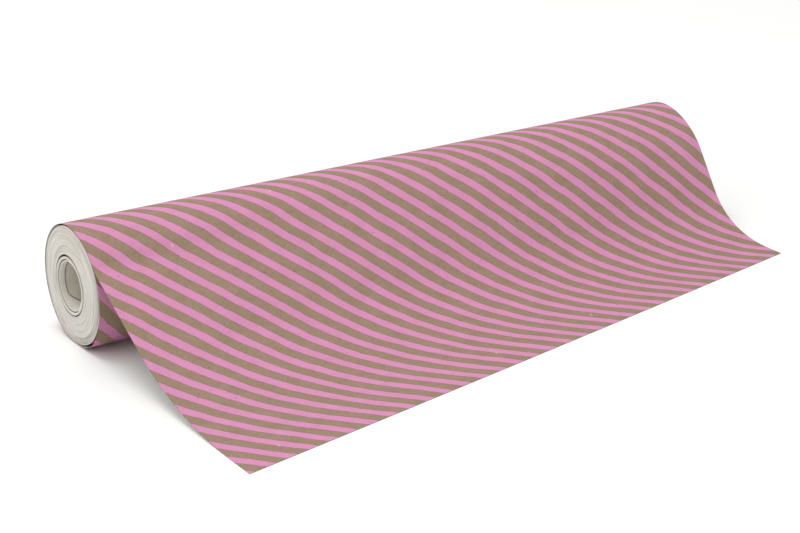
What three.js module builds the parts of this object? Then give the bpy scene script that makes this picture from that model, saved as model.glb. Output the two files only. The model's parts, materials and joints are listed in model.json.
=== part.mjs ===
// A counter roll of printed gift wrap lying on a flat surface. The web is wound on a board core,
// its outer turn lies loosely round the rest, and its end runs over the top of the roll, down the
// front and out along the surface. Millimetres and degrees, X along the roll, +Z up, -Y to the front.
// The origin is under the middle of the whole object, on the surface that it lies on.

import * as THREE from 'three';

// The web of paper
const webWidth = 600;
const webThickness = 0.4;
const turnClearance = 0.4;

// The roll, measured over the outer turn where the web leaves it
const rollRadius = 49;
const tuckAngle = 5;
const landDepth = 0.25;
const slack = { depth: 1.5, from: 65, to: 170 };

// The run of web off the roll, along its two side edges: the angle past the top at which it leaves
// the roll, the slope that it then falls at, the lengths in which it turns to that slope and
// settles on the surface, and the length that lies flat
const leftEdge = { leaves: 55, falls: 30, turns: 8, settles: 145, lies: 18 };
const rightEdge = { leaves: 16, falls: 57, turns: 51, settles: 88, lies: 11 };
const settleCurve = 1.4;

// The core: three walls of board, one inside the other
const coreRadius = 23.4;
const outerWall = 2.1;
const innerWall = 1.3;
const linerWall = 0.5;
const wallClearance = 0.7;
const linerClearance = 0.4;
const innerSetback = 1;
const linerSetback = 5;

// How far the core and the first turns of paper stand out of the roll's left end. Every turn is as
// wide as the web, so at the right end they stand in by as much.
const coreProud = 2;

// The tape that holds the first turn of the wound paper to the core
const tapeWidth = 19;
const tapeThickness = 0.4;
const tapeClearance = 0.3;
const tapeSetback = 20;

// How finely round stretches are divided
const turnStep = 5;
const runRows = 48;
const widthBays = 8;
const roundSides = 72;
const integrationSteps = 240;

const spiralPitch = webThickness + turnClearance;
const packRadius = rollRadius - 2 * spiralPitch;
const packBore = coreRadius + tapeThickness + 2 * tapeClearance;
const axisHeight = rollRadius - spiralPitch / 2 - landDepth;

const materials = {
  print: new THREE.MeshStandardMaterial({ color: 0xb98aa0, roughness: 0.75, metalness: 0 }),
  edge: new THREE.MeshStandardMaterial({ color: 0xd5d3cb, roughness: 0.9, metalness: 0 }),
  board: new THREE.MeshStandardMaterial({ color: 0xc9c4b8, roughness: 0.9, metalness: 0 }),
  tape: new THREE.MeshStandardMaterial({ color: 0xd9c98f, roughness: 0.4, metalness: 0 }),
};

const radians = THREE.MathUtils.degToRad;

// The stretches of the run that come down from the roll's top to the surface, at a share of the
// width, from 0 at the left edge to 1 at the right. A slope is given for each part of a stretch.
function comingDown(share) {
  const blend = (name) => THREE.MathUtils.lerp(leftEdge[name], rightEdge[name], share);
  const leaves = radians(blend('leaves'));
  const falls = radians(blend('falls'));
  const wrapped = { length: rollRadius * leaves, slope: (part) => leaves * part };
  const turning = { length: blend('turns'), slope: (part) => leaves + (falls - leaves) * part };
  const settling = { length: blend('settles'), slope: (part) => falls * (1 - part) ** settleCurve };

  const height = axisHeight + rollRadius - webThickness;
  const curvedDrop = dropOf(wrapped) + dropOf(turning) + dropOf(settling);
  const falling = { length: (height - curvedDrop) / Math.sin(falls), slope: () => falls };
  return [wrapped, turning, falling, settling];
}

// The whole run at a share of the width. Its free edge is one straight cut across the web, so its
// length changes evenly from side to side.
function runShape(share) {
  const lengths = [lengthOf(comingDown(0)) + leftEdge.lies, lengthOf(comingDown(1)) + rightEdge.lies];
  const stretches = comingDown(share);
  const lying = THREE.MathUtils.lerp(lengths[0], lengths[1], share) - lengthOf(stretches);
  return [...stretches, { length: lying, slope: () => 0 }];
}

function lengthOf(stretches) {
  return stretches.reduce((sum, piece) => sum + piece.length, 0);
}

function dropOf(piece) {
  let drop = 0;
  for (let step = 0; step < integrationSteps; step += 1) {
    drop += Math.sin(piece.slope((step + 0.5) / integrationSteps));
  }
  return (drop * piece.length) / integrationSteps;
}

// The printed face at a part of the run's length, as out and up distances from the roll's top and
// the slope there.
function pointOnRun(shape, part) {
  let left = part * lengthOf(shape);
  const point = { out: 0, up: 0, slope: 0 };
  for (const piece of shape) {
    const length = Math.min(left, piece.length);
    for (let step = 0; step < integrationSteps; step += 1) {
      const slope = piece.slope((((step + 0.5) / integrationSteps) * length) / piece.length);
      point.out += (Math.cos(slope) * length) / integrationSteps;
      point.up -= (Math.sin(slope) * length) / integrationSteps;
    }
    if (length > 0) {
      point.slope = piece.slope(length / piece.length);
    }
    left -= length;
  }
  return point;
}

// The radius of the outer turn's printed face, at an angle before the roll's top. It grows by one
// pitch in a turn, and stands off a little where it hangs loose at the front.
function turnRadius(angleBefore) {
  const position = 360 - angleBefore;
  const wound = rollRadius - (spiralPitch * angleBefore) / 360;
  if (position <= slack.from || position >= slack.to) {
    return wound;
  }
  const part = (position - slack.from) / (slack.to - slack.from);
  return wound + slack.depth * Math.sin(Math.PI * part) ** 2;
}

// The outer turn and the run: a flat strip of web, bent row by row round the roll and off it.
function buildWeb() {
  const turnRows = Math.round((360 - tuckAngle) / turnStep);
  const rows = turnRows + runRows;
  const strip = new THREE.BoxGeometry(1, 1, 1, widthBays, rows, 1);
  const shapes = new Map();
  const corners = strip.attributes.position;

  for (let index = 0; index < corners.count; index += 1) {
    const share = corners.getX(index) + 0.5;
    const row = Math.round((0.5 - corners.getY(index)) * rows);
    const depth = (0.5 - corners.getZ(index)) * webThickness;
    let out;
    let height;
    if (row <= turnRows) {
      const angleBefore = ((turnRows - row) / turnRows) * (360 - tuckAngle);
      const radius = turnRadius(angleBefore) - depth;
      out = -radius * Math.sin(radians(angleBefore));
      height = Math.max(axisHeight + radius * Math.cos(radians(angleBefore)), depth);
    } else {
      if (!shapes.has(share)) {
        shapes.set(share, runShape(share));
      }
      const point = pointOnRun(shapes.get(share), (row - turnRows) / runRows);
      out = point.out - depth * Math.sin(point.slope);
      height = axisHeight + rollRadius + point.up - depth * Math.cos(point.slope);
    }
    corners.setXYZ(index, (share - 0.5) * webWidth, -out, height);
  }
  strip.computeVertexNormals();
  return strip;
}

// A tube about the roll's axis. Its inner face may stand out of its lower end, and in at its upper.
function buildTube(outerRadius, wall, length, innerProud = 0) {
  const profile = [
    new THREE.Vector2(outerRadius - wall, -length / 2 - innerProud),
    new THREE.Vector2(outerRadius, -length / 2),
    new THREE.Vector2(outerRadius, length / 2),
    new THREE.Vector2(outerRadius - wall, length / 2 - innerProud),
    new THREE.Vector2(outerRadius - wall, -length / 2 - innerProud),
  ];
  return new THREE.LatheGeometry(profile, roundSides);
}

// The strip of tape, bent to the core and a little shorter than the web is wide.
function buildTape() {
  const length = webWidth - 2 * tapeSetback;
  const inside = coreRadius + tapeClearance;
  const halfAngle = tapeWidth / (2 * inside);
  const outline = new THREE.Shape();
  outline.absarc(0, 0, inside + tapeThickness, -halfAngle, halfAngle, false);
  outline.absarc(0, 0, inside, halfAngle, -halfAngle, true);
  const strip = new THREE.ExtrudeGeometry(outline, {
    depth: length,
    bevelEnabled: false,
    curveSegments: 8,
  });
  return strip.translate(0, 0, -length / 2);
}

function named(name, geometry, material) {
  const mesh = new THREE.Mesh(geometry, material);
  mesh.name = name;
  return mesh;
}

const innerRadius = coreRadius - outerWall - wallClearance;
const linerRadius = innerRadius - innerWall - linerClearance;
const packWall = packRadius - packBore;

// What turns with the core is built about the Y axis and laid along X.
const core = new THREE.Group();
core.add(
  named('core_outer_wall', buildTube(coreRadius, outerWall, webWidth), materials.board),
  named('core_inner_wall', buildTube(innerRadius, innerWall, webWidth - 2 * innerSetback), materials.board),
  named('core_liner', buildTube(linerRadius, linerWall, webWidth - 2 * linerSetback), materials.board),
);
const tape = named('start_tape', buildTape(), materials.tape);
tape.rotation.x = Math.PI / 2;
core.add(tape);
core.position.y = -coreProud;

const wound = new THREE.Group();
wound.add(
  named('wound_paper', buildTube(packRadius, packWall, webWidth, coreProud), materials.edge),
  core,
);
wound.rotation.z = -Math.PI / 2;
wound.position.z = axisHeight;

const reach = pointOnRun(runShape(0), 1).out;
const giftWrapRoll = new THREE.Group();
giftWrapRoll.add(named('printed_web', buildWeb(), materials.print), wound);
giftWrapRoll.position.set(coreProud / 2, (reach - rollRadius) / 2, 0);

export default giftWrapRoll;
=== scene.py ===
import json
import math
import random

import bpy
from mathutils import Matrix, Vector, noise


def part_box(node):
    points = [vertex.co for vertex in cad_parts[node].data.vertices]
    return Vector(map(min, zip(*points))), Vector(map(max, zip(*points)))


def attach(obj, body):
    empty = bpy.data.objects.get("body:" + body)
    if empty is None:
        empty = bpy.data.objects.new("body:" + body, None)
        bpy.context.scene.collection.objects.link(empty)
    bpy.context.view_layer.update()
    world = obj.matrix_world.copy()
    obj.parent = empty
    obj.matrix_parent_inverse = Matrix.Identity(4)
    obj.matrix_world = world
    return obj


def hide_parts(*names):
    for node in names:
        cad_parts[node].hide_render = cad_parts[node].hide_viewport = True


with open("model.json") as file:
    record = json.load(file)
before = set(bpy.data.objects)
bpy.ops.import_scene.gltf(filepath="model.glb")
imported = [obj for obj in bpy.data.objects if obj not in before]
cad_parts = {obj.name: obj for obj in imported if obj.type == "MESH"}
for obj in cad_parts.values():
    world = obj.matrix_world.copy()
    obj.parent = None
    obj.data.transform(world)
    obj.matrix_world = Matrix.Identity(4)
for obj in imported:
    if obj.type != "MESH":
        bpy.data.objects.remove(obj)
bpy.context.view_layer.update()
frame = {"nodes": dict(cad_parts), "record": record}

webLow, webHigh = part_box("printed_web")
packLow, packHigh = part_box("wound_paper")
coreLow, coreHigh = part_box("core_outer_wall")
rollAxis = Vector(frame["record"]["behaviour"]["joints"][0]["pos_m"])
rollAxis.x = (webLow.x + webHigh.x) / 2     # half way along the web's width
rollRadius = webHigh.z - rollAxis.z
halfWidth = (webHigh.x - webLow.x) / 2
packRadius = (packHigh.z - packLow.z) / 2
packBore = 0.0244     # the radius of the hole through the wound paper
coreProud = rollAxis.x - (coreLow.x + coreHigh.x) / 2     # how far the core stands out on the left
print("frame loaded, roll radius", round(rollRadius, 4))


# small helpers for modelling

def deselectAll():
    if bpy.context.object and bpy.context.object.mode != "OBJECT":
        bpy.ops.object.mode_set(mode="OBJECT")
    bpy.ops.object.select_all(action="DESELECT")


def selectOnly(piece):
    deselectAll()
    piece.select_set(True)
    bpy.context.view_layer.objects.active = piece


def newPiece(name):
    piece = bpy.context.object
    piece.name = name
    piece.data.name = name
    return piece


def applyPlace(piece):
    selectOnly(piece)
    bpy.ops.object.transform_apply(location=True, rotation=True, scale=True)


def applyModifiers(piece):
    selectOnly(piece)
    for modifier in list(piece.modifiers):
        bpy.ops.object.modifier_apply(modifier=modifier.name)


def smoothBy(piece, degrees):
    selectOnly(piece)
    bpy.ops.object.shade_smooth_by_angle(angle=math.radians(degrees))


def mix(a, b, share):
    return a + (b - a) * share


def turnMiddle(radius):
    # the middle of a turn of paper along the roll: the inner turns stand out with the core
    share = (packRadius - radius) / (packRadius - packBore)
    return rollAxis.x - coreProud * share


# shader nodes: a wire is a socket that can be added, multiplied and compared

class Wire:
    def __init__(self, finish, socket):
        self.finish = finish
        self.socket = socket

    def maths(self, operation, *values):
        return self.finish.node("ShaderNodeMath", {"operation": operation}, *values)

    def __add__(self, other):
        return self.maths("ADD", self, other)

    def __radd__(self, other):
        return self.maths("ADD", other, self)

    def __sub__(self, other):
        return self.maths("SUBTRACT", self, other)

    def __rsub__(self, other):
        return self.maths("SUBTRACT", other, self)

    def __mul__(self, other):
        return self.maths("MULTIPLY", self, other)

    def __rmul__(self, other):
        return self.maths("MULTIPLY", other, self)

    def __truediv__(self, other):
        return self.maths("DIVIDE", self, other)

    def __pow__(self, other):
        return self.maths("POWER", self, other)

    def __gt__(self, other):
        return self.maths("GREATER_THAN", self, other)

    def __abs__(self):
        return self.maths("ABSOLUTE", self)

    def fraction(self):
        return self.maths("FRACT", self)

    def clamped(self):
        return self.finish.node("ShaderNodeClamp", {}, self)

    def between(self, low, high):
        # 0 at low, 1 at high, held at both ends
        return ((self - low) / (high - low)).clamped()


def colour(hexText):
    # a screen colour such as "9d866e" as the linear values that shaders use
    channels = [int(hexText[i:i + 2], 16) / 255 for i in (0, 2, 4)]
    linear = [c / 12.92 if c <= 0.04045 else ((c + 0.055) / 1.055) ** 2.4 for c in channels]
    return (*linear, 1.0)


class Finish:
    def __init__(self, name):
        self.material = bpy.data.materials.new(name)
        self.material.use_nodes = True
        self.tree = self.material.node_tree
        self.shader = self.tree.nodes["Principled BSDF"]

    def node(self, kind, settings, *values, output=0, **named):
        made = self.tree.nodes.new(kind)
        for key, setting in settings.items():
            setattr(made, key, setting)
        places = dict(enumerate(values))
        places.update(named)
        for place, value in places.items():
            self.feed(made.inputs[place], value)
        return Wire(self, made.outputs[output])

    def feed(self, socket, value):
        if isinstance(value, Wire):
            self.tree.links.new(value.socket, socket)
        else:
            socket.default_value = value

    def mixed(self, share, first, second):
        made = self.tree.nodes.new("ShaderNodeMix")
        made.data_type = "RGBA"
        self.feed(made.inputs["Factor"], share)
        self.feed(made.inputs["A"], first)
        self.feed(made.inputs["B"], second)
        return Wire(self, made.outputs["Result"])

    def stained(self, base, pattern, stain):
        # the stain's colour comes in where the pattern is strong
        share = pattern.between(*stain["fades"]) * stain["share"]
        return self.mixed(share, base, colour(stain["colour"]))

    def place(self):
        return self.node("ShaderNodeTexCoord", {}, output="Object")

    def laidFlat(self, mapName):
        return self.node("ShaderNodeUVMap", {"uv_map": mapName})

    def mapped(self, where, **changes):
        return self.node("ShaderNodeMapping", {}, Vector=where, **changes)

    def split(self, vector):
        made = self.tree.nodes.new("ShaderNodeSeparateXYZ")
        self.feed(made.inputs[0], vector)
        return [Wire(self, output) for output in made.outputs]

    def cloud(self, where, scale, detail=2.0, roughness=0.5):
        return self.node("ShaderNodeTexNoise", {}, Vector=where, Scale=scale, Detail=detail,
                         Roughness=roughness)

    def rings(self, radius, perMetre, roughness):
        return self.node("ShaderNodeTexNoise", {"noise_dimensions": "1D"}, W=radius * perMetre,
                         Detail=2.0, Roughness=roughness)

    def specks(self, where, scale, chance, inside, outside):
        # one round speck to a cell, and only in some cells
        cells = {"voronoi_dimensions": "2D"}
        away = self.node("ShaderNodeTexVoronoi", cells, Vector=where, Scale=scale, output="Distance")
        drawn = self.node("ShaderNodeTexVoronoi", cells, Vector=where, Scale=scale, output="Color")
        return (1 - away.between(inside, outside)) * (self.split(drawn)[0] > chance)

    def bump(self, height, distance, strength):
        return self.node("ShaderNodeBump", {}, Height=height, Distance=distance, Strength=strength)

    def finishWith(self, base, roughness, normal=None):
        self.feed(self.shader.inputs["Base Color"], base)
        self.feed(self.shader.inputs["Roughness"], roughness)
        if normal is not None:
            self.feed(self.shader.inputs["Normal"], normal)
        return self.material


# the printed face: kraft ground and pink diagonal stripes, drawn on the web laid flat, in metres

printLook = {
    "ground": ("938168", "997e70", "8b775d"), "ink": ("cf88b4", "d08aaa", "c783a7"),
    "stripeAngle": 50, "stripeSpacing": 0.0165, "inkShare": 0.483,
    "wander": 0.0016, "wanderScale": 34.0,
    "edgeRoughness": 0.0006, "edgeScale": 130.0, "edgeSoftness": 0.00012,
    "edgeLine": "7a5560", "edgeLineShare": 0.4, "edgeLineFades": (0.0002, 0.0007),
    # three sets of fibres: how far each is turned, in radians, and its stretch
    "fibres": ((0.4, (1700, 300, 1)), (-0.9, (1500, 280, 1)), (1.9, (1600, 330, 1))),
    "darkOnGround": {"fades": (0.56, 0.70), "share": 0.65, "colour": "66543f"},
    "lightOnGround": {"fades": (0.58, 0.72), "share": 0.45, "colour": "b8a68c"},
    "darkOnInk": {"fades": (0.56, 0.70), "share": 0.2, "colour": "66543f"},
    "paleOnInk": {"fades": (0.60, 0.74), "share": 0.25, "colour": "dcaec6"},
    "driftScale": 80.0, "driftFades": (0.38, 0.62),
    "mottleScale": 60.0, "mottleMoved": (4, 2, 0), "mottleFades": (0.35, 0.75),
    "grainScale": 1100.0, "cockleScale": 240.0,
    "specks": (
        {"cells": {"scale": 105.0, "chance": 0.5, "inside": 0.028, "outside": 0.05},
         "share": 0.5, "colour": "453a2e"},
        {"cells": {"scale": 36.0, "chance": 0.7, "inside": 0.013, "outside": 0.022},
         "share": 0.85, "colour": "453a2e"},
    ),
    "straws": {"cells": {"scale": 24.0, "chance": 0.8, "inside": 0.01, "outside": 0.018},
               "share": 0.8, "colour": "cfc4a6", "turn": 0.8, "stretch": (1, 0.35, 1)},
    "roughness": 0.84, "inkSmoother": 0.1, "gloss": 0.35, "reliefHeight": 0.00006,
}


def makePrint():
    look = printLook
    finish = Finish("stripedKraft")
    flat = finish.laidFlat("flatWeb")
    across, along = finish.split(flat)[:2]

    # slow wander of the whole stripe, and a finer wobble that only its two edges have
    wander = (finish.cloud(flat, look["wanderScale"], 1.0) - 0.5) * (2 * look["wander"])
    wobble = (finish.cloud(flat, look["edgeScale"], 2.0) - 0.5) * (2 * look["edgeRoughness"])
    angle = math.radians(look["stripeAngle"])
    reach = along * math.cos(angle) - across * math.sin(angle) + wander
    phase = (reach / look["stripeSpacing"]).fraction()
    fromMiddle = abs(phase - 0.5) * look["stripeSpacing"]
    halfStripe = look["stripeSpacing"] * look["inkShare"] / 2
    ink = 1 - (fromMiddle + wobble).between(halfStripe - look["edgeSoftness"],
                                            halfStripe + look["edgeSoftness"])

    # a little more ink gathers along each edge of a stripe
    inkEdge = 1 - abs(fromMiddle + wobble - halfStripe).between(*look["edgeLineFades"])

    # kraft fibres lie every way: three stretched clouds at different turns
    fibres = []
    for turn, stretch in look["fibres"]:
        turned = finish.mapped(flat, Rotation=(0, 0, turn), Scale=stretch)
        fibres.append(finish.cloud(turned, 1.0, 2.0, 0.6))
    drift = finish.cloud(flat, look["driftScale"], 4.0, 0.7).between(*look["driftFades"])
    moved = finish.mapped(flat, Location=look["mottleMoved"])
    mottle = finish.cloud(moved, look["mottleScale"], 4.0, 0.6).between(*look["mottleFades"])
    grain = finish.cloud(flat, look["grainScale"], 2.0, 0.7)

    first, second, dark = look["ground"]
    ground = finish.mixed(drift, colour(first), colour(second))
    ground = finish.mixed(mottle, ground, colour(dark))
    ground = finish.stained(ground, fibres[0], look["darkOnGround"])
    ground = finish.stained(ground, fibres[1], look["lightOnGround"])
    first, second, dark = look["ink"]
    inked = finish.mixed(drift, colour(first), colour(second))
    inked = finish.mixed(mottle, inked, colour(dark))
    inked = finish.stained(inked, fibres[0], look["darkOnInk"])
    inked = finish.stained(inked, fibres[2], look["paleOnInk"])
    base = finish.mixed(ink, ground, inked)
    base = finish.mixed(inkEdge * look["edgeLineShare"], base, colour(look["edgeLine"]))
    for kind in look["specks"]:
        base = finish.mixed(finish.specks(flat, **kind["cells"]) * kind["share"], base,
                            colour(kind["colour"]))
    straws = look["straws"]
    turned = finish.mapped(flat, Rotation=(0, 0, straws["turn"]), Scale=straws["stretch"])
    base = finish.mixed(finish.specks(turned, **straws["cells"]) * straws["share"], base,
                        colour(straws["colour"]))

    roughness = look["roughness"] - ink * look["inkSmoother"] + (grain - 0.5) * 0.1
    relief = grain * 0.6 + fibres[0] * 0.5 + finish.cloud(flat, look["cockleScale"], 3.0) * 0.8
    finish.feed(finish.shader.inputs["Specular IOR Level"], look["gloss"])
    return finish.finishWith(base, roughness, finish.bump(relief, look["reliefHeight"], 0.55))


# the plain pale back of the paper, and its kraft brown cut edge

backLook = {
    "light": "d3d0c8", "dark": "c6c2b8", "mottleScale": 70.0, "mottleFades": (0.3, 0.7),
    "grainScale": 1400.0, "fibreStretch": (3.0, 0.5, 1.2), "fibreScale": 420.0,
    "fibre": {"fades": (0.6, 0.8), "share": 0.4, "colour": "a9a294"}, "reliefHeight": 0.00005,
}
cutLook = {
    "light": "8a7a68", "dark": "6b5d4c", "fuzzScale": 900.0, "fuzzFades": (0.35, 0.65),
    "reliefHeight": 0.00005,
}


def makeBack():
    look = backLook
    finish = Finish("paperBack")
    where = finish.place()
    mottle = finish.cloud(where, look["mottleScale"], 4.0, 0.6)
    grain = finish.cloud(where, look["grainScale"], 2.0, 0.7)
    stretched = finish.mapped(where, Scale=look["fibreStretch"])
    fibres = finish.cloud(stretched, look["fibreScale"], 3.0, 0.7)
    base = finish.mixed(mottle.between(*look["mottleFades"]), colour(look["light"]), colour(look["dark"]))
    base = finish.stained(base, fibres, look["fibre"])
    relief = grain + fibres * 0.7
    return finish.finishWith(base, 0.85 + (grain - 0.5) * 0.1,
                             finish.bump(relief, look["reliefHeight"], 0.5))


def makeCutKraft():
    look = cutLook
    finish = Finish("cutKraft")
    fuzz = finish.cloud(finish.place(), look["fuzzScale"], 3.0, 0.7)
    base = finish.mixed(fuzz.between(*look["fuzzFades"]), colour(look["light"]), colour(look["dark"]))
    return finish.finishWith(base, 0.9 + (fuzz - 0.5) * 0.1,
                             finish.bump(fuzz, look["reliefHeight"], 0.5))


# cut edges of the wound paper, seen as fine rings on the roll's ends

edgeLook = {
    "light": "e2dfd9", "broadPerMetre": 620, "finePerMetre": 4200, "arcsPerMetre": 900,
    "arcsPerRadian": 0.9, "patchScale": 32.0, "fuzzScale": 900.0, "reliefHeight": 0.00012,
    "broadRing": {"fades": (0.36, 0.62), "share": 0.8, "colour": "ccc8c0"},
    "fineRing": {"fades": (0.45, 0.72), "share": 0.5, "colour": "aeaa9f"},
    "arc": {"fades": (0.56, 0.7), "share": 0.7, "colour": "938e81"},
    "patch": {"fades": (0.42, 0.7), "share": 0.4, "colour": "c2baaa"},
    # painted shade for the grooves between turns and the gap round the core
    "gap": {"fades": (0.0007, 0.0016), "share": 0.8, "colour": "5d584d"},
}


def ringPlace(finish):
    # the place along the roll, the distance from its axis and the angle round it
    x, y, z = finish.split(finish.place())
    y = y - rollAxis.y
    z = z - rollAxis.z
    radius = (y * y + z * z) ** 0.5
    angle = y.maths("ARCTAN2", y, z)
    return x, radius, angle


def makeEdges():
    look = edgeLook
    finish = Finish("cutPaperEdges")
    x, radius, angle = ringPlace(finish)
    where = finish.place()
    patch = finish.cloud(where, look["patchScale"], 3.0, 0.55)
    fine = finish.rings(radius, look["finePerMetre"], 0.6)
    broad = finish.rings(radius, look["broadPerMetre"], 0.5)

    # each ring is darker over part of its way round only
    around = finish.node("ShaderNodeCombineXYZ", {}, radius * look["arcsPerMetre"],
                         angle * look["arcsPerRadian"], 0.0)
    arcs = finish.node("ShaderNodeTexNoise", {"noise_dimensions": "2D"}, Vector=around, Scale=1.0,
                       Detail=2.0)
    base = finish.stained(colour(look["light"]), broad, look["broadRing"])
    base = finish.stained(base, fine, look["fineRing"])
    base = finish.stained(base, arcs, look["arc"])
    base = finish.stained(base, patch, look["patch"])

    # painted shade: grooves and the gap round the core darken a little way in from the ends
    base = finish.stained(base, halfWidth - abs(x - turnMiddle(radius)), look["gap"])
    relief = fine * 0.8 + broad * 0.6 + finish.cloud(where, look["fuzzScale"], 2.0) * 0.25
    return finish.finishWith(base, 0.88 + (patch - 0.5) * 0.12,
                             finish.bump(relief, look["reliefHeight"], 0.7))


# core board: plies on the cut ends, a wound seam and fibres on the faces

boardLook = {
    "plyLine": "9a9486", "plyShare": 0.35, "plyFades": (0.36, 0.47),     # in parts of a ply
    "seam": "7d776a", "seamShare": 0.6, "seamFades": (0.004, 0.012),     # in parts of a turn
    "gapShade": "5d584d", "gapShadeShare": 0.75, "gapShadeFades": (0.0005, 0.0016),
    # painted shade along the board's ends
    "paintedEdgeShade": "4e493f", "paintedEdgeShadeFades": (0.0003, 0.0012),
    "fibre": {"fades": (0.58, 0.78), "share": 0.5, "colour": "a79f8f"},
    "fibreStretch": (0.45, 1.6, 1.6), "fibreScale": 520.0, "mottleScale": 85.0,
    "mottleFades": (0.32, 0.68), "reliefHeight": 0.00012,
}


def makeBoard(name, light, dark, plyThickness, seamPitch, seamStart, gapFrom, paintedEdgeShadeShare):
    look = boardLook
    finish = Finish(name)
    x, radius, angle = ringPlace(finish)
    where = finish.place()
    plyLine = abs((radius / plyThickness).fraction() - 0.5).between(*look["plyFades"])
    fromEnd = (halfWidth - abs(x - turnMiddle(packBore))).between(*look["gapShadeFades"])
    turns = angle / (2 * math.pi) + x / seamPitch + seamStart
    seam = (1 - abs(turns.fraction() - 0.5).between(*look["seamFades"])) * fromEnd
    fibres = finish.cloud(finish.mapped(where, Scale=look["fibreStretch"]), look["fibreScale"], 3.0, 0.65)
    mottle = finish.cloud(where, look["mottleScale"], 4.0, 0.6)
    base = finish.mixed(mottle.between(*look["mottleFades"]), colour(light), colour(dark))
    base = finish.mixed(plyLine * look["plyShare"], base, colour(look["plyLine"]))
    base = finish.stained(base, fibres, look["fibre"])
    base = finish.mixed(seam * look["seamShare"], base, colour(look["seam"]))

    # painted shade: the board darkens close to its ends, torn edges too, standing in for the shadow where
    # the edge lifts
    fromLeft, fromRight = finish.split(finish.laidFlat("fromEnds"))[:2]
    paintedEdgeShade = 1 - fromLeft.maths("MINIMUM", fromLeft, fromRight).between(*look["paintedEdgeShadeFades"])
    base = finish.mixed(paintedEdgeShade * paintedEdgeShadeShare, base, colour(look["paintedEdgeShade"]))

    # painted shade: faces that stand in a narrow gap darken a little way in from the ends
    shade = fromEnd * (radius > gapFrom) * look["gapShadeShare"]
    base = finish.mixed(shade, base, colour(look["gapShade"]))
    relief = fibres * 0.6 + mottle * 0.5 - seam * 1.6 - plyLine * 0.4
    return finish.finishWith(base, 0.86 + (fibres - 0.5) * 0.12,
                             finish.bump(relief, look["reliefHeight"], 0.7))


# the tape that holds the first turn, gone slightly yellow

tapeLook = {
    "light": "d9c98f", "dark": "c8b57a", "streakStretch": (0.2, 2.0, 2.0), "streakScale": 260.0,
    "streakFades": (0.35, 0.65), "bubbleScale": 700.0, "coat": 0.3, "reliefHeight": 0.00004,
    "bubble": {"fades": (0.62, 0.72), "share": 0.5, "colour": "efe6c4"},
}


def makeTape():
    look = tapeLook
    finish = Finish("yellowedTape")
    where = finish.place()
    streaks = finish.cloud(finish.mapped(where, Scale=look["streakStretch"]), look["streakScale"], 3.0)
    bubbles = finish.cloud(where, look["bubbleScale"], 2.0)
    base = finish.mixed(streaks.between(*look["streakFades"]), colour(look["light"]), colour(look["dark"]))
    base = finish.stained(base, bubbles, look["bubble"])
    finish.feed(finish.shader.inputs["Coat Weight"], look["coat"])
    return finish.finishWith(base, 0.3 + streaks * 0.2,
                             finish.bump(bubbles, look["reliefHeight"], 0.5))


striped = makePrint()
backOfPaper = makeBack()
cutKraft = makeCutKraft()
paperEdges = makeEdges()
outerBoard = makeBoard("coreBoardOuter", "d6d3ca", "c6c1b6", plyThickness=0.0006, seamPitch=0.105,
                       seamStart=0.15, gapFrom=0.0, paintedEdgeShadeShare=0.0)
innerBoard = makeBoard("coreBoardInner", "dedad1", "cdc8bd", plyThickness=0.00045, seamPitch=0.098,
                       seamStart=0.6, gapFrom=0.0202, paintedEdgeShadeShare=0.0)
# only the lining gets the painted shade along its ends
liningPaper = makeBoard("coreLining", "ccc7ba", "bab4a6", plyThickness=0.0005, seamPitch=0.09,
                        seamStart=0.85, gapFrom=1.0, paintedEdgeShadeShare=0.8)
tapeFinish = makeTape()
print("finishes made")


# the sheet: the outer turn of the roll and the run that comes off it

sheet = {
    "thickness": 0.0003, "turnGrowth": 0.0008, "tuckAngle": 5,
    "slackDepth": 0.002, "slackFrom": 92, "slackTo": 184,
    "leftEdge": {"leaves": 55, "falls": 30, "turns": 0.008, "settles": 0.145, "lies": 0.018},
    "rightEdge": {"leaves": 16, "falls": 57, "turns": 0.051, "settles": 0.088, "lies": 0.011},
    "settleCurve": 1.4, "turnRows": 142, "runRows": 150, "columns": 64, "fineSteps": 700,
    "dropSteps": 240, "cockle": 0.0005, "cocklesAcross": 9, "cocklesAlong": 11, "cockleSeed": 3.1,
    "freeFrom": 0.2, "freeShare": 0.75, "smoothAngle": 35,
}


def runStretches(share):
    # the stretches of the run at a share of the width: wrapped, turning, falling, settling
    left, right = sheet["leftEdge"], sheet["rightEdge"]
    leaves = math.radians(mix(left["leaves"], right["leaves"], share))
    falls = math.radians(mix(left["falls"], right["falls"], share))
    stretches = [
        (rollRadius * leaves, lambda part: leaves * part),
        (mix(left["turns"], right["turns"], share), lambda part: leaves + (falls - leaves) * part),
        (mix(left["settles"], right["settles"], share),
         lambda part: falls * max(0.0, 1 - part) ** sheet["settleCurve"]),
    ]
    height = rollAxis.z + rollRadius - sheet["thickness"]
    steps = sheet["dropSteps"]
    drop = sum(length / steps * sum(math.sin(slope((i + 0.5) / steps)) for i in range(steps))
               for length, slope in stretches)
    stretches.insert(2, ((height - drop) / math.sin(falls), lambda part: falls))
    return stretches


def curvedLength(share):
    return sum(length for length, slope in runStretches(share))


runLengths = [curvedLength(0) + sheet["leftEdge"]["lies"], curvedLength(1) + sheet["rightEdge"]["lies"]]


def traceRun(share):
    # points along the printed face as (length, out, up, slope), evenly spaced
    stretches = runStretches(share)
    total = mix(runLengths[0], runLengths[1], share)
    stretches.append((total - curvedLength(share), lambda part: 0.0))
    starts = []
    reached = 0.0
    for length, slope in stretches:
        starts.append((reached, length, slope))
        reached += length

    def slopeAt(length):
        for start, span, slope in starts:
            if length <= start + span:
                return slope((length - start) / span)
        return 0.0

    steps = sheet["fineSteps"]
    step = total / steps
    points = [(0.0, 0.0, 0.0, 0.0)]
    out = up = 0.0
    for i in range(steps):
        slope = slopeAt((i + 0.5) * step)
        out += math.cos(slope) * step
        up -= math.sin(slope) * step
        points.append(((i + 1) * step, out, up, slopeAt((i + 1) * step)))
    return points


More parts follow.
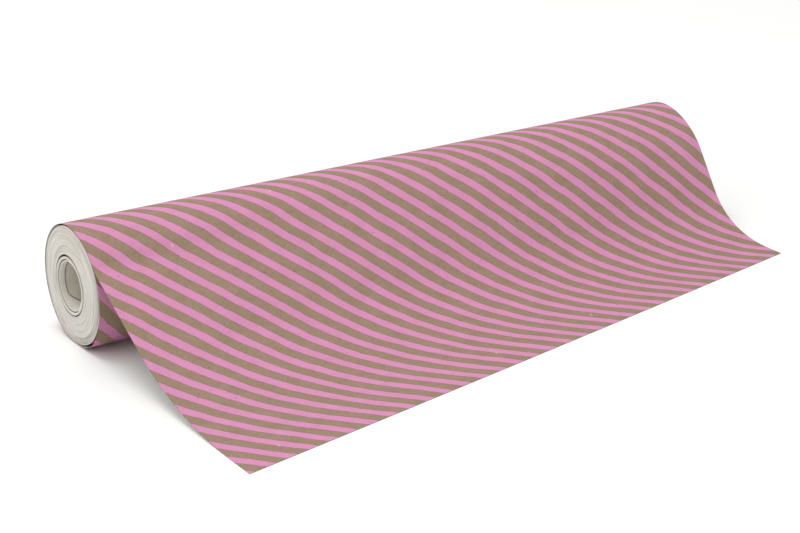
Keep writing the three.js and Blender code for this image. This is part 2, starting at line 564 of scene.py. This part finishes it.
def turnPoint(before):
    # the outer turn's printed face at an angle, in degrees, before the roll's top
    position = 360 - before
    radius = rollRadius - sheet["turnGrowth"] * before / 360
    if sheet["slackFrom"] < position < sheet["slackTo"]:
        part = (position - sheet["slackFrom"]) / (sheet["slackTo"] - sheet["slackFrom"])
        radius += sheet["slackDepth"] * math.sin(math.pi * part) ** 2
    angle = math.radians(before)
    return -radius * math.sin(angle), max(rollAxis.z + radius * math.cos(angle), 0.0)


def cockleAt(across, length, part):
    # paper isn't quite even: it lifts and dips a little where nothing holds it
    freePart = min(1.0, max(0.0, (part - sheet["freeFrom"]) / sheet["freeShare"]))
    free = math.sin(math.pi * freePart) ** 2
    where = Vector((across * sheet["cocklesAcross"], length * sheet["cocklesAlong"], sheet["cockleSeed"]))
    return noise.noise(where) * sheet["cockle"] * 2 * free


def buildSheet():
    rows = sheet["turnRows"] + sheet["runRows"]
    deselectAll()
    bpy.ops.mesh.primitive_grid_add(x_subdivisions=sheet["columns"], y_subdivisions=rows, size=1)
    piece = newPiece("stripedSheet")
    mesh = piece.data
    turnLength = math.radians(360 - sheet["tuckAngle"]) * rollRadius
    traces = {}
    flatPlaces = []
    for vertex in mesh.vertices:
        column = round((vertex.co.x + 0.5) * sheet["columns"])
        row = round((0.5 - vertex.co.y) * rows)
        share = column / sheet["columns"]
        across = mix(-halfWidth, halfWidth, share)
        if row <= sheet["turnRows"]:
            left = 1 - row / sheet["turnRows"]
            out, height = turnPoint(left * (360 - sheet["tuckAngle"]))
            flatPlaces.append((across, -left * turnLength))
        else:
            if column not in traces:
                traces[column] = traceRun(share)
            part = (row - sheet["turnRows"]) / sheet["runRows"]
            length, out, up, slope = traces[column][round(part * sheet["fineSteps"])]
            lift = cockleAt(across, length, part)
            out += lift * math.sin(slope)
            height = rollAxis.z + rollRadius + up + lift * math.cos(slope)
            flatPlaces.append((across, length))
        vertex.co = (rollAxis.x + across, rollAxis.y - out, height)
    uvs = mesh.uv_layers[0]
    uvs.name = "flatWeb"
    for loop in mesh.loops:
        uvs.data[loop.index].uv = flatPlaces[loop.vertex_index]
    mesh.materials.append(striped)
    mesh.materials.append(backOfPaper)
    mesh.materials.append(cutKraft)
    thick = piece.modifiers.new("thickness", "SOLIDIFY")
    thick.thickness = sheet["thickness"]
    thick.offset = -1
    thick.material_offset = 1
    thick.material_offset_rim = 2
    applyModifiers(piece)
    smoothBy(piece, sheet["smoothAngle"])
    return piece, turnLength


stripedSheet, turnLength = buildSheet()
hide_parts("printed_web")
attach(stripedSheet, "web")
print("sheet bent round the roll and down to the surface")


# the wound paper: ring after ring extruded outwards over each end

pack = {
    "sides": 144, "ringNarrow": 0.00035, "ringWide": 0.0009, "unevenness": 0.00022,
    "looseTurns": (0.0422, 0.0436, 0.0448, 0.0459), "looseGap": 0.00024, "looseDepth": 0.0014,
    "looseSide": (-0.8, -0.6), "gapRange": (0.8, 1.3), "gapShift": 0.9,
    "setback": 0.0004, "holeEase": 0.0004, "seed": 11, "mergeWithin": 0.00001,
    "outsideWithin": 0.0002, "endFacing": 0.5, "smoothAngle": 30,
}


def endLoops(seed):
    # one end's loops from the bore outwards: radius, how far in from the end, sideways shift
    draw = random.Random(seed)
    ease = pack["holeEase"]
    depth = pack["setback"]
    loops = [(packBore + ease, depth, -ease)]     # the hole is a little loose on the core
    radius = packBore + 2 * ease
    loose = list(pack["looseTurns"])
    while radius < packRadius:
        stop = loose[0] if loose else packRadius
        radius = min(radius + draw.uniform(pack["ringNarrow"], pack["ringWide"]), stop)
        loops.append((radius, depth, 0.0))
        depth = pack["setback"] + draw.uniform(0, pack["unevenness"])
        if loose and radius == stop:
            # a loose turn: a groove that is wide on one side and nearly shut on the other
            loose.pop(0)
            gap = pack["looseGap"] * draw.uniform(*pack["gapRange"])
            shift = gap * pack["gapShift"]
            loops.append((radius, pack["looseDepth"], 0.0))
            radius += gap
            loops.append((radius, pack["looseDepth"], shift))
            loops.append((radius, depth, shift))
        elif radius < packRadius:
            loops.append((radius, depth, 0.0))
    return loops


def ringCentre(x, shift):
    # a ring's centre, moved by its shift towards the side where the turns are loose
    sideways = Vector((0, *pack["looseSide"])) * shift
    return Vector((x, rollAxis.y, rollAxis.z)) + sideways


def buildWoundPaper():
    left = [(r, turnMiddle(r) - halfWidth + d, s) for r, d, s in endLoops(pack["seed"])]
    right = [(r, turnMiddle(r) + halfWidth - d, s) for r, d, s in endLoops(pack["seed"] + 1)]
    right.reverse()
    loops = left + right + left[:1]
    wasRadius, x, shift = loops[0]
    wasCentre = ringCentre(x, shift)
    deselectAll()
    bpy.ops.mesh.primitive_circle_add(vertices=pack["sides"], radius=wasRadius, fill_type="NOTHING",
                                      rotation=(0, math.pi / 2, 0), location=wasCentre)
    piece = newPiece("woundPaper")
    applyPlace(piece)
    bpy.ops.object.mode_set(mode="EDIT")
    bpy.ops.mesh.select_all(action="SELECT")
    for radius, x, shift in loops[1:]:
        centre = ringCentre(x, shift)
        bpy.ops.mesh.extrude_edges_move(TRANSFORM_OT_translate={"value": centre - wasCentre})
        grow = radius / wasRadius
        if grow != 1:
            bpy.ops.transform.resize(value=(1, grow, grow), center_override=centre)
        wasRadius, wasCentre = radius, centre
    bpy.ops.mesh.select_all(action="SELECT")
    bpy.ops.mesh.remove_doubles(threshold=pack["mergeWithin"])
    bpy.ops.mesh.normals_make_consistent(inside=False)
    bpy.ops.object.mode_set(mode="OBJECT")
    dressWoundPaper(piece.data)
    smoothBy(piece, pack["smoothAngle"])
    return piece


def dressWoundPaper(mesh):
    # cut edges on the ends, and the print on the outside, laid out as on the flat web
    mesh.materials.append(paperEdges)
    mesh.materials.append(striped)
    uvs = mesh.uv_layers.new(name="flatWeb")
    for face in mesh.polygons:
        middle = face.center - rollAxis
        farOut = math.hypot(middle.y, middle.z) > packRadius - pack["outsideWithin"]
        face.material_index = 1 if farOut and abs(face.normal.x) < pack["endFacing"] else 0
        for index in face.loop_indices:
            corner = mesh.vertices[mesh.loops[index].vertex_index].co - rollAxis
            angle = math.atan2(-corner.y, corner.z) % (2 * math.pi)
            if angle < 0.01 and middle.y > 0:
                angle += 2 * math.pi     # the last face of the turn ends at a full turn, not at none
            uvs.data[index].uv = (corner.x, angle * packRadius)


woundPaper = buildWoundPaper()
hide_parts("wound_paper")
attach(woundPaper, "roll")
webWidth = 2 * halfWidth
turnLength + runLengths[0]
webWidth * (turnLength + sum(runLengths) / 2)
print("wound paper made,", len(woundPaper.data.polygons), "faces")


# the core: three tubes of board, each wall thickened inwards and eased at its ends

tubes = {
    "coreOuterWall": {"node": "core_outer_wall", "wall": 0.0021, "ease": 0.0003, "slot": "core_board",
                      "finish": outerBoard, "tears": ()},
    "coreInnerWall": {"node": "core_inner_wall", "wall": 0.0013, "ease": 0.00025, "slot": "core_board",
                      "finish": innerBoard, "tears": ()},
    "coreLining": {"node": "core_liner", "wall": 0.0005, "ease": 0.00012, "slot": "core_lining",
                   "finish": liningPaper,
                   # end, the middle and half width of the tear in degrees, and its depth
                   "tears": ((-1, 190, 62, 0.011), (1, 40, 60, 0.006), (1, 250, 45, 0.004))},
}
tearShape = {"fray": 0.12, "frayDegrees": 6, "curve": 1.5, "frayRow": 0.5}
tubeShape = {"sides": 144, "easeSegments": 2, "easeAngle": 50, "smoothAngle": 40}


def tearEnds(mesh, tears):
    # an end's points move in along the tube where the board is torn
    for vertex in mesh.vertices:
        angle = math.degrees(math.atan2(vertex.co.y - rollAxis.y, vertex.co.z - rollAxis.z)) % 360
        side = -1 if vertex.co.x < 0 else 1
        for end, middle, halfWide, depth in tears:
            off = abs(angle - middle) / halfWide
            if end == side and off < 1:
                where = Vector((angle / tearShape["frayDegrees"], side, tearShape["frayRow"]))
                frayed = 1 + tearShape["fray"] * noise.noise(where)
                vertex.co.x -= side * depth * frayed * (1 - off ** 2) ** tearShape["curve"]


def buildTube(name, tube):
    low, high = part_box(tube["node"])
    length = high.x - low.x
    deselectAll()
    bpy.ops.mesh.primitive_cylinder_add(vertices=tubeShape["sides"], radius=(high.z - low.z) / 2,
                                        depth=length, end_fill_type="NOTHING",
                                        rotation=(0, math.pi / 2, 0), location=(low + high) / 2)
    piece = newPiece(name)
    applyPlace(piece)
    mesh = piece.data
    fromEnds = mesh.uv_layers.new(name="fromEnds")
    for loop in mesh.loops:
        onRight = mesh.vertices[loop.vertex_index].co.x > 0
        fromEnds.data[loop.index].uv = (length, 0.0) if onRight else (0.0, length)
    wall = piece.modifiers.new("wall", "SOLIDIFY")
    wall.thickness = tube["wall"]
    wall.offset = -1
    tearEnds(mesh, tube["tears"])
    ease = piece.modifiers.new("ease", "BEVEL")
    ease.width = tube["ease"]
    ease.segments = tubeShape["easeSegments"]
    ease.angle_limit = math.radians(tubeShape["easeAngle"])
    applyModifiers(piece)
    mesh.materials.append(tube["finish"])
    smoothBy(piece, tubeShape["smoothAngle"])
    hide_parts(tube["node"])
    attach(piece, "roll")


for name, tube in tubes.items():
    buildTube(name, tube)
print("core made")

tapeNode = frame["nodes"]["start_tape"]
tapeNode.data.materials.clear()
tapeNode.data.materials.append(tapeFinish)


# floor, light and camera

studio = {
    "floorSize": 9.0, "floorHeight": -0.00008, "floorTints": ("f4f4f2", "f7f7f6"), "tintScale": 3.0,
    "skyStrength": 0.79, "lightsAim": (0, 0, 0.03),
    "lights": {
        "overhead": {"place": (-0.6, 0.4, 3.0), "size": 1.6, "power": 37},
        "endFill": {"place": (-2.4, -0.1, 2.0), "size": 1.8, "power": 10.5},
    },
    "cameraPlace": (-0.8933, -1.2258, 0.6146), "cameraDown": 20.898, "cameraRound": 33.96,
    "lens": 90, "clipEnd": 50,
}


def makeFloorFinish():
    finish = Finish("paleFloor")
    cloudy = finish.cloud(finish.place(), studio["tintScale"], 3.0)
    first, second = studio["floorTints"]
    base = finish.mixed(cloudy, colour(first), colour(second))
    return finish.finishWith(base, 0.9 + (cloudy - 0.5) * 0.05)


deselectAll()
bpy.ops.mesh.primitive_plane_add(size=studio["floorSize"], location=(0, 0, studio["floorHeight"]))
floor = newPiece("floor")
floor.data.materials.append(makeFloorFinish())

world = bpy.data.worlds.new("studioSky")
bpy.context.scene.world = world
world.use_nodes = True
sky = world.node_tree.nodes["Background"]
sky.inputs["Color"].default_value = (1, 1, 1, 1)
sky.inputs["Strength"].default_value = studio["skyStrength"]

for name, light in studio["lights"].items():
    bpy.ops.object.light_add(type="AREA", location=light["place"])
    lamp = bpy.context.object
    lamp.name = name
    lamp.data.shape = "DISK"
    lamp.data.size = light["size"]
    lamp.data.energy = light["power"]
    towards = Vector(studio["lightsAim"]) - lamp.location
    lamp.rotation_euler = towards.to_track_quat("-Z", "Y").to_euler()

bpy.ops.object.camera_add(location=studio["cameraPlace"],
                          rotation=(math.radians(90 - studio["cameraDown"]), 0,
                                    -math.radians(studio["cameraRound"])))
camera = bpy.context.object
camera.name = "camera"
camera.data.lens = studio["lens"]
camera.data.clip_end = studio["clipEnd"]
bpy.context.scene.camera = camera
bpy.context.scene.view_settings.view_transform = "Standard"
print("floor, light and camera set")
